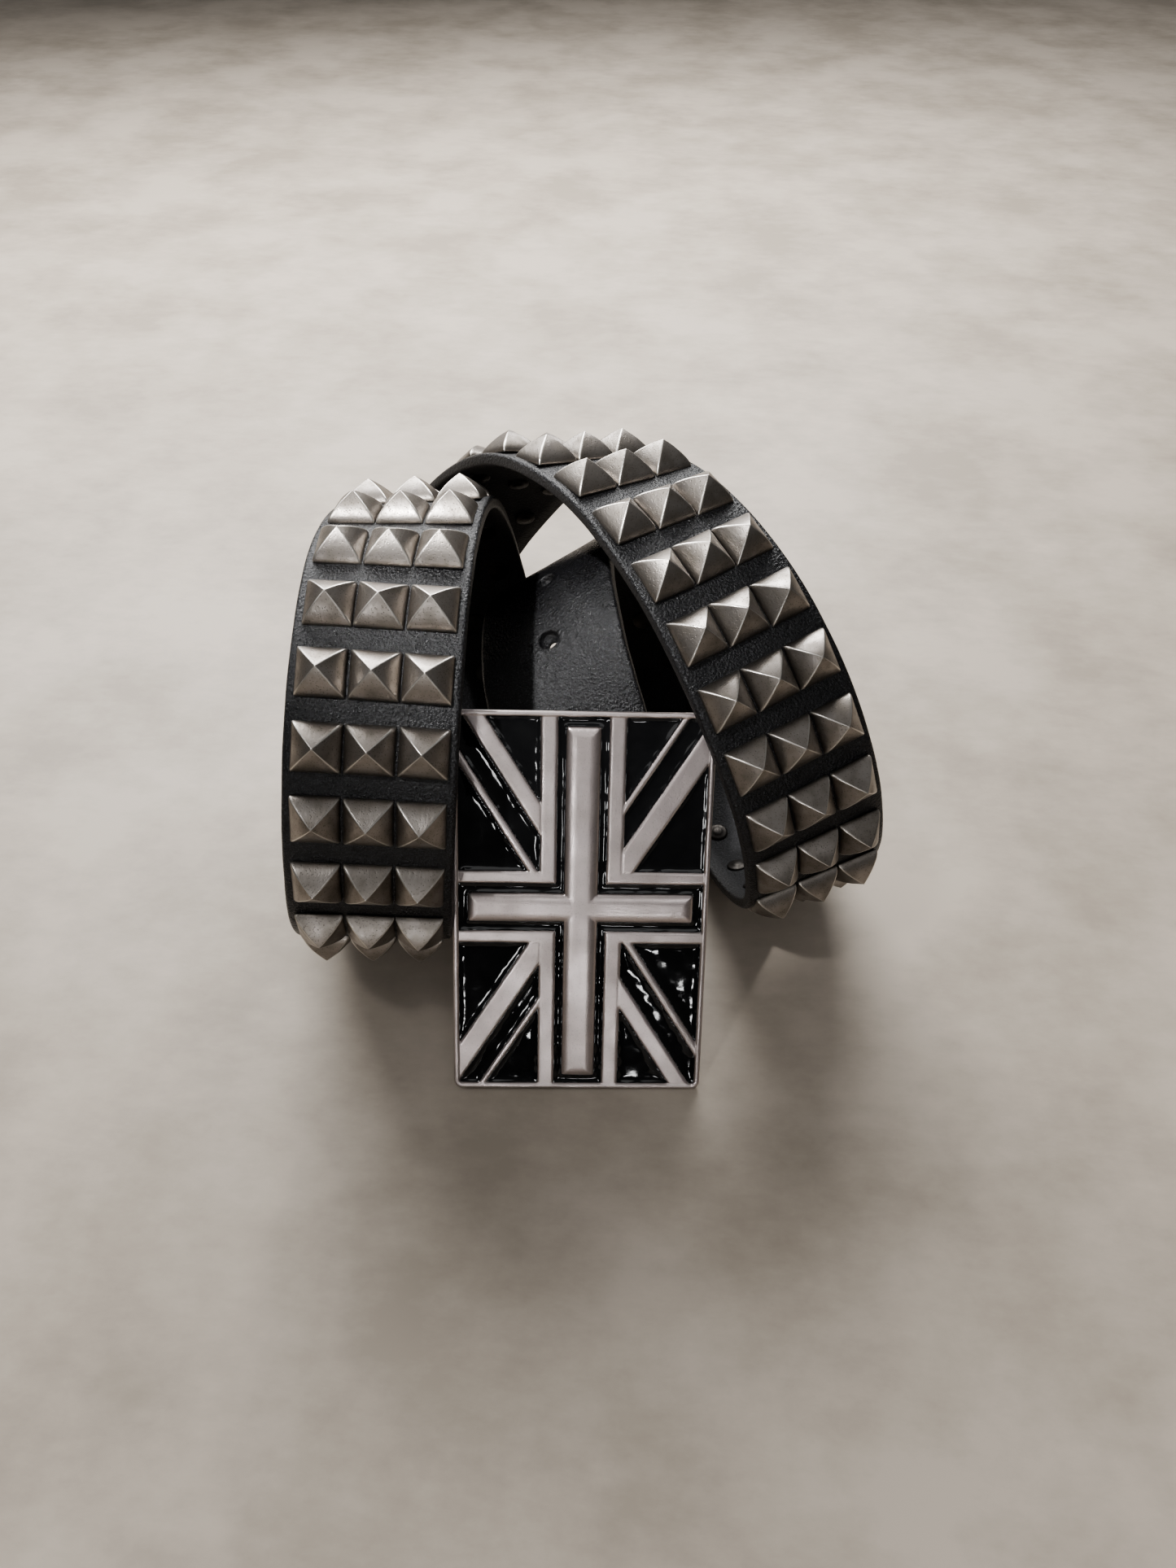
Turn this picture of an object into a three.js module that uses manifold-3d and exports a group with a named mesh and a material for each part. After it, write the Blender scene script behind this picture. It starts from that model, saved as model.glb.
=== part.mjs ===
// A studded leather belt, fastened and standing on edge, coiled in three turns.
// Millimetres, +Z up. The origin is the bottom centre of the belt's bounding box.

import * as THREE from "three";
import { mergeVertices } from "three/addons/utils/BufferGeometryUtils.js";
import Module from "manifold-3d";

const wasm = await Module();
wasm.setup();

// Strap
const strapWidth = 43.2;
const strapThickness = 3.6;
const edgeBevel = 0.8;
const strapStep = 7;
const tailMargin = 28.1;
const tipTaperLength = 16;
const tipTaper = 0.45;

// The coil's depth and height, which the route's shares follow
const coilDepth = 125;
const coilHeight = 125;

// Studs, three across the strap, row after row
const studBase = 12.7;
const studHeight = 6.95;
const studGap = 0.45;
const studsAcross = 3;
const rowPitch = 18.46;
const firstRowAt = 37;
const plainTail = 186;
const studLink = 0.4;
const seatGap = 0.3;

// Punched holes of the tail, counted back from its tip
const holeDiameter = 5.5;
const holeSpacing = 25.4;
const holeCount = 4;
const tipToHole = 34;
const hookedHole = 0;
const holeSides = 16;
const punchOverrun = 1.5;

// Buckle plate
const plateWidth = 70.2;
const plateLength = 110;
const plateThickness = 4.2;
const plateCorner = 3;
const sharpestCorner = 0.4;
const cornerSteps = 3;
const plateEdge = 1;
const plateBackInset = 3.2;
const rimWidth = 1.7;
const rimBevel = 0.3;
const fieldDepth = 1.8;
const reliefSunk = 0.2;

// Where the plate stands: its lean back from upright, turn about Z and roll in its own plane,
// in degrees, and its lower edge's middle as a share of the strap's width
const plateLean = 32.4;
const plateTurn = 2;
const plateRoll = -1.3;
const plateSide = -0.038;

// The buckle's raised cross and strips
const crossHalfWidth = 4.75;
const crossHalfLength = 51;
const armHalfWidth = 4.3;
const armHalfLength = 31.1;
const crossRise = 2.4;
const barBevel = 1;
const stripRise = 1.5;
const sideChannel = 1.85;
const sideStrip = 5;
const armChannel = 2.45;
const armStrip = 3.9;

// Diagonal bands of a quadrant: where each one's low and high edge meets the side strip, as
// shares of the plate's length from its middle
const bandColumns = { low: 0, high: 1 };
const fallingBands = [
  [0.186, 0.28],
  [0.048, 0.095],
];
const risingBands = [
  [0.243, 0.279],
  [0.051, 0.163],
];

// Hidden fittings on the plate's back, with how far behind it the tail and the bail's bar lie
const hookStandoff = 8.63;
const bailStandoff = 11.1;
const bailWire = 3;
const bailClearance = 0.3;
const bailSideGap = 1.8;
const foldFlap = 24;
const foldSteps = 8;
const foldStartStep = 0.25;
const hookDiameter = 4.4;
const hookHead = 7.4;
const hookHeadLength = 1.6;
const hookReach = 1;
const wireSides = 10;

// The route of the strap's outer face, one row every two stud rows.
// x is a share of the strap's width, y of the coil's depth, z of its height.
// yaw and lean turn the strap's width about Z and tip it up at the right, in degrees.
const routeColumns = { x: 0, y: 1, z: 2, yaw: 3, lean: 4 };
const routeTable = [
  [-0.043, -0.529, 0.056, 14, 1],
  [-0.258, -0.244, 0.075, 15, 3],
  [-0.481, 0.036, 0.129, 15, 5],
  [-0.712, 0.3, 0.229, 14, 7],
  [-0.938, 0.494, 0.433, 12, 10],
  [-1.097, 0.496, 0.717, 6, 10],
  [-1.164, 0.305, 0.934, 0, 5],
  [-1.198, 0.022, 1.002, -2, 0],
  [-1.227, -0.248, 0.895, -1, -3],
  [-1.268, -0.439, 0.674, 1, -5],
  [-1.339, -0.489, 0.39, 3, -6],
  [-1.44, -0.324, 0.151, 4, -6],
  [-1.52, -0.04, 0.08, 4, -7],
  [-1.557, 0.249, 0.11, 5, -15],
  [-1.493, 0.509, 0.243, 10, -25],
  [-1.218, 0.645, 0.483, 16, -27],
  [-0.794, 0.621, 0.734, 21, -27],
  [-0.319, 0.493, 0.942, 31, -19],
  [0.19, 0.278, 1.034, 36, -7],
  [0.671, 0.043, 0.98, 34, 2],
  [1.082, -0.154, 0.815, 29, 9],
  [1.404, -0.277, 0.572, 26, 10],
  [1.552, -0.264, 0.287, 22, 10],
  [1.426, -0.057, 0.09, 18, 5],
  [1.167, 0.221, 0.081, 18, 8],
  [0.874, 0.485, 0.153, 13, 27],
  [0.446, 0.639, 0.348, 2, 35],
  [-0.011, 0.564, 0.577, 3, 36],
  [-0.3, 0.336, 0.733, 2, 33],
  [-0.271, 0.048, 0.728, 3, 24],
  [-0.041, -0.18, 0.561, 10, 13],
  [0.171, -0.337, 0.325, 13, 8],
  [0.376, -0.474, 0.072, 14, 8],
];
const samplesPerRow = 24;
const splineTension = 0.5;

// Half-width against height of a stud's convex faces, as shares of its own size
const studProfile = [
  [1, 0],
  [0.98, 0.13],
  [0.7, 0.45],
  [0.36, 0.75],
];

const leather = new THREE.MeshStandardMaterial({ color: 0x17171a, roughness: 0.55, metalness: 0 });
const pewter = new THREE.MeshStandardMaterial({ color: 0x8f8a84, roughness: 0.4, metalness: 1 });
const nickel = new THREE.MeshStandardMaterial({ color: 0xb9aca5, roughness: 0.35, metalness: 1 });
const steel = new THREE.MeshStandardMaterial({ color: 0x9a9a9c, roughness: 0.3, metalness: 1 });

const vec = (x, y, z) => new THREE.Vector3(x, y, z);

// A closed solid through rings of points, each ring seen anticlockwise from the last one's side
function ringSolid(rings, apex = null) {
  const size = rings[0].length;
  const positions = [];
  const indices = [];
  for (const ring of rings) {
    for (const point of ring) {
      positions.push(point.x, point.y, point.z);
    }
  }
  for (let ring = 0; ring + 1 < rings.length; ring++) {
    for (let side = 0; side < size; side++) {
      const a = ring * size + side;
      const b = ring * size + ((side + 1) % size);
      indices.push(a, b, b + size, a, b + size, a + size);
    }
  }
  const last = (rings.length - 1) * size;
  for (let side = 1; side + 1 < size; side++) {
    indices.push(0, side + 1, side);
  }
  if (apex) {
    positions.push(apex.x, apex.y, apex.z);
    for (let side = 0; side < size; side++) {
      indices.push(last + side, last + ((side + 1) % size), last + size);
    }
  } else {
    for (let side = 1; side + 1 < size; side++) {
      indices.push(last, last + side, last + side + 1);
    }
  }
  const geometry = new THREE.BufferGeometry();
  geometry.setAttribute("position", new THREE.Float32BufferAttribute(positions, 3));
  geometry.setIndex(indices);
  return geometry;
}

// A straight round rod between two points
function rodSolid(from, to, diameter, sides = wireSides) {
  const axis = to.clone().sub(from).normalize();
  const aside = Math.abs(axis.x) < Math.SQRT1_2 ? vec(1, 0, 0) : vec(0, 1, 0);
  const first = aside.cross(axis).normalize();
  const second = axis.clone().cross(first);
  const rings = [from, to].map((end) => {
    const ring = [];
    for (let side = 0; side < sides; side++) {
      const turn = (2 * Math.PI * side) / sides;
      ring.push(
        end
          .clone()
          .addScaledVector(first, (Math.cos(turn) * diameter) / 2)
          .addScaledVector(second, (Math.sin(turn) * diameter) / 2),
      );
    }
    return ring;
  });
  return toManifold(ringSolid(rings));
}

function toManifold(source) {
  const bare = source.clone();
  bare.deleteAttribute("normal");
  bare.deleteAttribute("uv");
  const merged = mergeVertices(bare);
  return new wasm.Manifold(
    new wasm.Mesh({
      numProp: 3,
      vertProperties: new Float32Array(merged.attributes.position.array),
      triVerts: new Uint32Array(merged.index.array),
    }),
  );
}

function joined(solids) {
  return fromManifold(solids.reduce((sum, solid) => sum.add(solid)));
}

function fromManifold(solid) {
  const mesh = solid.getMesh();
  const geometry = new THREE.BufferGeometry();
  geometry.setAttribute("position", new THREE.BufferAttribute(new Float32Array(mesh.vertProperties), 3));
  geometry.setIndex(new THREE.BufferAttribute(new Uint32Array(mesh.triVerts), 1));
  return geometry;
}

// The strap's route
const routePoints = routeTable.map((row) =>
  vec(
    row[routeColumns.x] * strapWidth,
    row[routeColumns.y] * coilDepth,
    row[routeColumns.z] * coilHeight,
  ),
);
const routeTurns = routeTable.map((row) => vec(row[routeColumns.yaw], row[routeColumns.lean], 0));
const routeCurve = new THREE.CatmullRomCurve3(routePoints, false, "catmullrom", splineTension);
const turnCurve = new THREE.CatmullRomCurve3(routeTurns, false, "catmullrom", splineTension);
const sampleCount = (routeTable.length - 1) * samplesPerRow;
const sampleLengths = routeLengths();
const strapLength = sampleLengths[sampleCount] - tailMargin;

function routeLengths() {
  const lengths = [0];
  let previous = routeCurve.getPoint(0);
  for (let sample = 1; sample <= sampleCount; sample++) {
    const point = routeCurve.getPoint(sample / sampleCount);
    lengths.push(lengths[sample - 1] + point.distanceTo(previous));
    previous = point;
  }
  return lengths;
}

// The curve's own parameter at a length along the strap
function routeShare(along) {
  let sample = 1;
  while (sample < sampleCount && sampleLengths[sample] < along) {
    sample += 1;
  }
  const from = sampleLengths[sample - 1];
  const share = (along - from) / (sampleLengths[sample] - from);
  return THREE.MathUtils.clamp((sample - 1 + share) / sampleCount, 0, 1);
}

// Where the outer face's middle is at a length along the strap, with the strap's own
// directions there: across to the right, ahead along the strap, and out from the outer face
function strapFrame(along) {
  const share = routeShare(along);
  const ahead = routeCurve.getTangent(share);
  const turn = turnCurve.getPoint(share);
  const yaw = THREE.MathUtils.degToRad(turn.x);
  const lean = THREE.MathUtils.degToRad(turn.y);
  const across = vec(
    Math.cos(lean) * Math.cos(yaw),
    Math.cos(lean) * Math.sin(yaw),
    Math.sin(lean),
  );
  across.addScaledVector(ahead, -across.dot(ahead)).normalize();
  const out = ahead.clone().cross(across).normalize();
  return { point: routeCurve.getPoint(share), across, ahead, out };
}

// A point of the strap's own frame: side across, depth below the outer face
function strapPoint(frame, side, depth, ahead = 0) {
  return frame.point
    .clone()
    .addScaledVector(frame.across, side)
    .addScaledVector(frame.out, -depth)
    .addScaledVector(frame.ahead, ahead);
}

function strapRing(frame, half) {
  return [
    strapPoint(frame, half, edgeBevel),
    strapPoint(frame, half - edgeBevel, 0),
    strapPoint(frame, -half + edgeBevel, 0),
    strapPoint(frame, -half, edgeBevel),
    strapPoint(frame, -half, strapThickness),
    strapPoint(frame, half, strapThickness),
  ];
}

// The folded start: the strap's end goes round the bail's bar and lies back on itself
const foldRadius = bailWire / 2 + bailClearance + strapThickness;

function foldFrames(strapStart) {
  const start = strapFrame(strapStart);
  const centre = strapPoint(start, 0, foldRadius);
  const frames = [];
  for (let step = 0; step < foldSteps; step++) {
    const turn = Math.PI * (1 - step / foldSteps);
    const out = start.out
      .clone()
      .multiplyScalar(Math.cos(turn))
      .addScaledVector(start.ahead, -Math.sin(turn));
    const ahead = start.across.clone().cross(out);
    frames.push({
      point: centre.clone().addScaledVector(out, foldRadius),
      across: start.across,
      ahead,
      out,
    });
  }
  const flap = { ...frames[0], point: strapPoint(frames[0], 0, 0, -foldFlap) };
  return [flap, ...frames];
}

function tipHalfWidth(along) {
  const left = Math.max(strapLength - along, 0);
  const share = Math.max(1 - left / tipTaperLength, 0);
  return (strapWidth / 2) * (1 - tipTaper * share * share);
}

function holePlaces() {
  const places = [];
  for (let hole = 0; hole < holeCount; hole++) {
    places.push(strapLength - tipToHole - hole * holeSpacing);
  }
  return places;
}

function strapGeometry(strapStart) {
  const rings = foldFrames(strapStart).map((frame) => strapRing(frame, strapWidth / 2));
  const steps = Math.round((strapLength - strapStart) / strapStep);
  for (let step = 0; step <= steps; step++) {
    const along = strapStart + ((strapLength - strapStart) * step) / steps;
    rings.push(strapRing(strapFrame(along), tipHalfWidth(along)));
  }
  let solid = toManifold(ringSolid(rings));
  for (const place of holePlaces()) {
    const frame = strapFrame(place);
    const outside = strapPoint(frame, 0, -punchOverrun);
    const inside = strapPoint(frame, 0, strapThickness + punchOverrun);
    solid = solid.subtract(rodSolid(inside, outside, holeDiameter, holeSides));
  }
  return fromManifold(solid);
}

// One row of studs about its own origin: X across, Y back along the strap, Z out
function studRowGeometry() {
  const spacing = studBase + studGap;
  const solids = [];
  for (let stud = 0; stud < studsAcross; stud++) {
    const middle = (stud - (studsAcross - 1) / 2) * spacing;
    const rings = studProfile.map(([width, height]) => {
      const half = (width * studBase) / 2;
      const z = height * studHeight;
      return [
        vec(middle - half, -half, z),
        vec(middle + half, -half, z),
        vec(middle + half, half, z),
        vec(middle - half, half, z),
      ];
    });
    solids.push(toManifold(ringSolid(rings, vec(middle, 0, studHeight))));
  }
  const linkLength = spacing * (studsAcross - 1);
  const link = new THREE.BoxGeometry(linkLength, studBase / 2, studLink);
  link.translate(0, 0, studLink / 2);
  solids.push(toManifold(link));
  return joined(solids);
}

// How far a row's flat base must stand off the curved and twisted strap to stay clear
function seatLift(frame, along) {
  const rowHalf = ((studBase + studGap) * (studsAcross - 1) + studBase) / 2;
  let rise = 0;
  for (const offset of [-studBase / 2, studBase / 2]) {
    const end = strapFrame(along + offset);
    for (const side of [-rowHalf, rowHalf]) {
      rise = Math.max(rise, strapPoint(end, side, 0).sub(frame.point).dot(frame.out));
    }
  }
  return rise + seatGap;
}

function studRows() {
  const geometry = studRowGeometry();
  const rowCount = Math.floor((strapLength - plainTail - firstRowAt) / rowPitch) + 1;
  const rows = [];
  for (let row = 0; row < rowCount; row++) {
    const along = firstRowAt + row * rowPitch;
    const frame = strapFrame(along);
    const mesh = new THREE.Mesh(geometry, pewter);
    mesh.name = `stud_row_${String(row + 1).padStart(2, "0")}`;
    mesh.position.copy(strapPoint(frame, 0, -seatLift(frame, along)));
    const basis = new THREE.Matrix4();
    basis.makeBasis(frame.across, frame.ahead.clone().negate(), frame.out);
    mesh.quaternion.setFromRotationMatrix(basis);
    rows.push(mesh);
  }
  return rows;
}

// The buckle plate in its own frame: X across, Y up the plate from its bottom edge, Z out
// of its face, with Z at zero on the rim's top
const plateMiddle = plateLength / 2;
const fieldHalfWidth = plateWidth / 2 - rimWidth;
const fieldHalfLength = plateMiddle - rimWidth;
const reliefFloor = -fieldDepth - reliefSunk;

function roundedOutline(halfWidth, halfLength, radius) {
  const outline = [];
  const corners = [[1, -1], [1, 1], [-1, 1], [-1, -1]];
  corners.forEach(([right, up], corner) => {
    for (let step = 0; step <= cornerSteps; step++) {
      const turn = (Math.PI / 2) * (corner - 1 + step / cornerSteps);
      const x = right * (halfWidth - radius) + radius * Math.cos(turn);
      const y = up * (halfLength - radius) + radius * Math.sin(turn);
      outline.push([x, y + plateMiddle]);
    }
  });
  return outline;
}

const atHeight = (outline, z) => outline.map(([x, y]) => vec(x, y, z));

function plateSlab() {
  const outline = (inset) => {
    const radius = Math.max(plateCorner - inset, sharpestCorner);
    return roundedOutline(plateWidth / 2 - inset, plateMiddle - inset, radius);
  };
  const rings = [
    atHeight(outline(plateBackInset), -plateThickness),
    atHeight(outline(0), -plateEdge),
    atHeight(outline(0), -rimBevel),
    atHeight(outline(rimBevel), 0),
  ];
  const field = outline(rimWidth);
  const pocket = ringSolid([atHeight(field, -fieldDepth), atHeight(field, fieldDepth)]);
  return toManifold(ringSolid(rings)).subtract(toManifold(pocket));
}

// A bar of the cross with its top edges cut back
function barForm(halfWidth, halfLength) {
  const top = crossRise - fieldDepth;
  const foot = roundedOutline(halfWidth, halfLength, barBevel);
  const ridge = roundedOutline(halfWidth - barBevel, halfLength - barBevel, barBevel / 2);
  return toManifold(
    ringSolid([atHeight(foot, reliefFloor), atHeight(foot, top - barBevel), atHeight(ridge, top)]),
  );
}

// A box of the relief, in the quadrant that right and up name with their signs
function quadrantBox(right, up, xFrom, xTo, yFrom, yTo, rise) {
  const height = rise + reliefSunk;
  const box = new THREE.BoxGeometry(xTo - xFrom, yTo - yFrom, height);
  const x = (right * (xFrom + xTo)) / 2;
  const y = plateMiddle + (up * (yFrom + yTo)) / 2;
  box.translate(x, y, reliefFloor + height / 2);
  return toManifold(box);
}

// A diagonal band of one quadrant, cut to the field between the strips and the rim
function diagonalForm(right, up, low, high) {
  const slope = fieldHalfLength / fieldHalfWidth;
  const xFrom = -plateWidth;
  const xTo = plateWidth;
  const inner = crossHalfWidth + sideChannel + sideStrip;
  const corners = [
    [xFrom, low + slope * (xFrom - inner)],
    [xTo, low + slope * (xTo - inner)],
    [xTo, high + slope * (xTo - inner)],
    [xFrom, high + slope * (xFrom - inner)],
  ].map(([x, y]) => [right * x, plateMiddle + up * y]);
  const outline = right * up > 0 ? corners : corners.reverse();
  const band = toManifold(
    ringSolid([atHeight(outline, reliefFloor), atHeight(outline, stripRise - fieldDepth)]),
  );
  const field = quadrantBox(
    right,
    up,
    inner - reliefSunk,
    fieldHalfWidth + reliefSunk,
    armHalfWidth + armChannel + armStrip - reliefSunk,
    fieldHalfLength + reliefSunk,
    crossRise,
  );
  return band.intersect(field);
}

function quadrantForms(right, up) {
  const xFrom = crossHalfWidth + sideChannel;
  const yFrom = armHalfWidth + armChannel;
  const xTo = fieldHalfWidth + reliefSunk;
  const yTo = fieldHalfLength + reliefSunk;
  const bands = right * up < 0 ? fallingBands : risingBands;
  return [
    quadrantBox(right, up, xFrom, xFrom + sideStrip, yFrom, yTo, stripRise),
    quadrantBox(right, up, xFrom, xTo, yFrom, yFrom + armStrip, stripRise),
    ...bands.map((band) =>
      diagonalForm(
        right,
        up,
        band[bandColumns.low] * plateLength,
        band[bandColumns.high] * plateLength,
      ),
    ),
  ];
}

function plateGeometry() {
  const forms = [
    barForm(crossHalfWidth, crossHalfLength),
    barForm(armHalfLength, armHalfWidth),
    ...quadrantForms(1, 1),
    ...quadrantForms(-1, 1),
    ...quadrantForms(-1, -1),
    ...quadrantForms(1, -1),
  ];
  return joined([plateSlab(), ...forms]);
}

// The plate stands on its lower edge and leans back, with the tail at the hook's distance
function placedPlate() {
  const geometry = plateGeometry();
  geometry.rotateZ(THREE.MathUtils.degToRad(plateRoll));
  const plate = new THREE.Mesh(geometry, nickel);
  plate.name = "buckle_plate";
  plate.rotation.order = "ZXY";
  plate.rotation.z = THREE.MathUtils.degToRad(plateTurn);
  plate.rotation.x = THREE.MathUtils.degToRad(90 - plateLean);
  plate.position.x = plateSide * strapWidth;
  plate.updateMatrixWorld();
  plate.position.z = -new THREE.Box3().setFromObject(plate, true).min.z;
  plate.updateMatrixWorld();
  const tail = strapFrame(holePlaces()[hookedHole]).point;
  const face = vec(0, 0, 1).transformDirection(plate.matrixWorld);
  plate.position.y = (behindPlate(plate, tail) - hookStandoff) / -face.y;
  plate.updateMatrixWorld();
  return plate;
}

// How far a point lies behind the plate's back
function behindPlate(plate, point) {
  return -plateThickness - plate.worldToLocal(point.clone()).z;
}

// Where along the route the fold's centre first lies far enough behind the plate
function foldStart(plate) {
  let along = 0;
  while (behindPlate(plate, strapPoint(strapFrame(along), 0, foldRadius)) < bailStandoff) {
    along += foldStartStep;
  }
  return along;
}

// The hidden wire loop that stands off the plate's back and carries the strap's fold
function bailMesh(plate, strapStart) {
  const start = strapFrame(strapStart);
  const reach = strapWidth / 2 + bailWire / 2 + bailSideGap;
  const left = strapPoint(start, -reach, foldRadius);
  const right = strapPoint(start, reach, foldRadius);
  const wires = [
    rodSolid(footOn(plate, left), left, bailWire),
    rodSolid(footOn(plate, right), right, bailWire),
    rodSolid(
      strapPoint(start, -reach - bailWire / 2, foldRadius),
      strapPoint(start, reach + bailWire / 2, foldRadius),
      bailWire,
    ),
  ];
  const bail = new THREE.Mesh(joined(wires), steel);
  bail.name = "buckle_bail";
  return bail;
}

// The point straight in front of another, just clear of the plate's back
function footOn(plate, point) {
  const foot = plate.worldToLocal(point.clone());
  foot.z = -plateThickness - seatGap;
  return plate.localToWorld(foot);
}

// The hidden peg from the plate's back through one of the tail's holes
function hookMesh(plate) {
  const frame = strapFrame(holePlaces()[hookedHole]);
  const point = plate.worldToLocal(frame.point.clone());
  const ahead = plate.worldToLocal(frame.point.clone().add(frame.out));
  const backZ = -plateThickness - 2 * seatGap;
  const reach = (backZ - point.z) / (ahead.z - point.z);
  const headFrom = strapThickness + hookReach;
  const headTo = headFrom + hookHeadLength;
  const rods = [
    rodSolid(strapPoint(frame, 0, headTo), strapPoint(frame, 0, -reach), hookDiameter),
    rodSolid(strapPoint(frame, 0, headTo), strapPoint(frame, 0, headFrom), hookHead),
  ];
  const hook = new THREE.Mesh(joined(rods), steel);
  hook.name = "buckle_hook";
  return hook;
}

function belt() {
  const plate = placedPlate();
  const strapStart = foldStart(plate);
  const strap = new THREE.Mesh(strapGeometry(strapStart), leather);
  strap.name = "strap";
  const pieces = [strap, ...studRows(), plate, bailMesh(plate, strapStart), hookMesh(plate)];
  const group = new THREE.Group();
  group.add(...pieces);
  const box = new THREE.Box3().setFromObject(group, true);
  const middle = box.getCenter(vec(0, 0, 0));
  group.position.set(-middle.x, -middle.y, -box.min.z);
  return group;
}

const group = belt();

export default group;
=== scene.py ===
# A studded leather belt, fastened with its plate buckle and standing coiled on its edge.
# All sizes are in metres and all angles in degrees, in the frame of the CAD model.
import bisect
import math
import random
import bpy
import bmesh
from mathutils import Matrix, Vector, noise


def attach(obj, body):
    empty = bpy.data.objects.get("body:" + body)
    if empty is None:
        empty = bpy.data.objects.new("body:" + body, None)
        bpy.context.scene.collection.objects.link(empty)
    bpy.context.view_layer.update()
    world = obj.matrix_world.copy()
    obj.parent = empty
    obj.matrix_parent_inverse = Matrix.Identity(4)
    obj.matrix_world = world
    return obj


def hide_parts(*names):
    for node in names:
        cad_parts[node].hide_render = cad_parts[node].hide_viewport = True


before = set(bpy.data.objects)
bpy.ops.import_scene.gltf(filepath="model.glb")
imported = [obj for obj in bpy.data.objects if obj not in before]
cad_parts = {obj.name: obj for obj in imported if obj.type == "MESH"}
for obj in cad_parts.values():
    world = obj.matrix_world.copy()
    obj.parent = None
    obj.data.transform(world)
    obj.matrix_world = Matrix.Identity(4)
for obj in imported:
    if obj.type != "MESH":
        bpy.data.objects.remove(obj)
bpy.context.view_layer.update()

random.seed(11)

# Camera, floor and lights

view = {
    "spot": (0.00077, -0.24281, 0.2964),
    "tip": 43.0,  # up from looking straight down
    "roll": 1.0,
    "lens": 25.76,
    "nearest": 0.01,
}

studio = {
    "floorSize": 6.0,
    "floorPale": (0.47, 0.41, 0.345, 1),
    "floorDim": (0.34, 0.293, 0.24, 1),
    "floorRoughness": 0.55,
    "mottleScale": 14.0,
    "streakScale": (70.0, 150.0, 1.0),
    "streakTurn": 28.648,
    "streakShare": 0.25,
    "shadeStops": (0.48, 0.74),
    # the sky's brightness from level with the floor up to straight overhead
    "sky": ((0.5, 0.04), (0.58, 0.08), (0.75, 0.20), (1.0, 0.30)),
    # name: place, what it points at, its two sides, its power
    "lamps": {
        "overhead": ((-0.16, 0.66, 0.60), (0, 0.05, 0.05), (0.95, 0.36), 16.5),
        "key": ((-0.43, -0.275, 1.065), (0, 0, 0.08), (0.1, 0.1), 1.4),
        "front": ((0.1, -1.0, 0.85), (0, 0, 0.05), (0.8, 0.3), 1.1),
        "window": ((-0.27, -1.3, 0.40), (0, -0.05, 0.05), (0.12, 0.17), 1.6),
        "sill": ((0.10, -1.5, 0.18), (0, -0.08, 0.03), (0.14, 0.04), 0.7),
    },
    # a narrow beam into the coil: place, what it points at, cone, size, power
    "beam": ((-0.43, -0.275, 1.065), (0.004, 0.004, 0.066), 6.4, 0.02, 68),
    "beamSoftness": 0.5,
}


def newMaterial(name):
    material = bpy.data.materials.new(name)
    material.use_nodes = True
    tree = material.node_tree
    tree.nodes.clear()
    output = tree.nodes.new("ShaderNodeOutputMaterial")
    shader = tree.nodes.new("ShaderNodeBsdfPrincipled")
    tree.links.new(shader.outputs["BSDF"], output.inputs["Surface"])
    return material, tree, shader


def feed(tree, socket, value):
    # a socket takes either a value or another node's output
    if isinstance(value, bpy.types.NodeSocket):
        tree.links.new(value, socket)
    else:
        socket.default_value = value


def addNode(tree, kind, inputs=None, **settings):
    node = tree.nodes.new(kind)
    for name, value in settings.items():
        setattr(node, name, value)
    for name, value in (inputs or {}).items():
        feed(tree, node.inputs[name], value)
    return node


def grey(level):
    return (level, level, level, 1)


def ramp(tree, source, stops):
    node = addNode(tree, "ShaderNodeValToRGB", {"Fac": source})
    elements = node.color_ramp.elements
    while len(elements) < len(stops):
        elements.new(0.5)
    for element, (place, shade) in zip(elements, stops):
        element.position = place
        element.color = shade if isinstance(shade, tuple) else grey(shade)
    return node.outputs["Color"]


def blend(tree, share, first, second):
    # the colour mix's own sockets are the first, seventh and eighth
    node = addNode(tree, "ShaderNodeMix", data_type="RGBA")
    for place, value in ((0, share), (6, first), (7, second)):
        feed(tree, node.inputs[place], value)
    return node.outputs[2]


def maths(tree, operation, first, second=0.5, third=0.5):
    node = addNode(tree, "ShaderNodeMath", operation=operation)
    for socket, value in zip(node.inputs, (first, second, third)):
        feed(tree, socket, value)
    return node.outputs[0]


def makeCamera():
    data = bpy.data.cameras.new("photoCamera")
    data.lens = view["lens"]
    data.clip_start = view["nearest"]
    camera = bpy.data.objects.new("photoCamera", data)
    bpy.context.scene.collection.objects.link(camera)
    tip = Matrix.Rotation(math.radians(view["tip"]), 4, "X")
    roll = Matrix.Rotation(math.radians(view["roll"]), 4, "Z")
    camera.matrix_world = Matrix.Translation(view["spot"]) @ tip @ roll
    bpy.context.scene.camera = camera


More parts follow.
